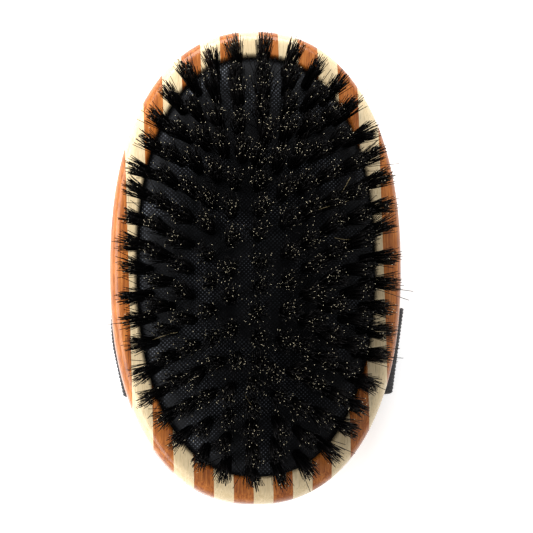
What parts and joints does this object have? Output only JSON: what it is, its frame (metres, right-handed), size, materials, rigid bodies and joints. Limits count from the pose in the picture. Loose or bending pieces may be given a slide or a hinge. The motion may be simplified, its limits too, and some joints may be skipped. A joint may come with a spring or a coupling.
{
  "type": "palm brush",
  "caption": "Oval palm brush of striped laminated bamboo with a domed air cushion, splayed dark bristle tufts and an elastic hand strap across the back.",
  "frame": {"origin": "on the surface that the brush lies on, below the middle of the oval body", "axes": "+Z up out of the bristle side, +Y along the body's long axis away from the hand strap, +X to the right seen from the bristle side with +Y up"},
  "size_m": [0.0844, 0.1348, 0.0535],
  "materials": {
    "bamboo_dark": "glossy clear lacquer over carbonised bamboo",
    "bamboo_light": "glossy clear lacquer over natural bamboo",
    "cushion_rubber": "matt moulded rubber",
    "canvas": "plain weave cotton bonded to the rubber",
    "backing": "felted backing",
    "wire": "drawn wire",
    "bristle": "natural dark boar bristle with pale cut tips",
    "elastic": "ribbed woven elastic"
  },
  "bodies": {
    "body": {"strip_01": "bamboo_dark", "strip_02": "bamboo_light", "strip_03": "bamboo_dark", "strip_04": "bamboo_light", "strip_05": "bamboo_dark", "strip_06": "bamboo_light", "strip_07": "bamboo_dark", "strip_08": "bamboo_light", "strip_09": "bamboo_dark", "strip_10": "bamboo_light", "strip_11": "bamboo_dark", "strip_12": "bamboo_light", "strip_13": "bamboo_dark", "strip_14": "bamboo_light", "strip_15": "bamboo_dark", "cushion_bead": "cushion_rubber", "strap_brads": "wire"},
    "bristle_field": {"cushion_dome": "cushion_rubber", "canvas_facing": "canvas", "backing_sheet": "backing", "tuft_anchors": "wire", "tufts_ring_1": "bristle", "tufts_ring_2": "bristle", "tufts_ring_3": "bristle", "tufts_ring_4": "bristle", "tufts_ring_5": "bristle", "tufts_core": "bristle"},
    "strap": {"hand_strap": "elastic"}
  },
  "joints": [
    {"name": "cushion_press", "type": "slide", "parent": "body", "child": "bristle_field", "axis": [0, 0, -1], "range_m": [0, 0.003], "stiffness_N_per_m": 1500, "springref_m": -0.0002, "deforming": ["cushion_dome", "canvas_facing"]},
    {"name": "strap_stretch", "type": "slide", "parent": "body", "child": "strap", "axis": [0, 0, -1], "range_m": [0, 0.012], "stiffness_N_per_m": 300, "springref_m": -0.002, "deforming": ["hand_strap"]}
  ]
}
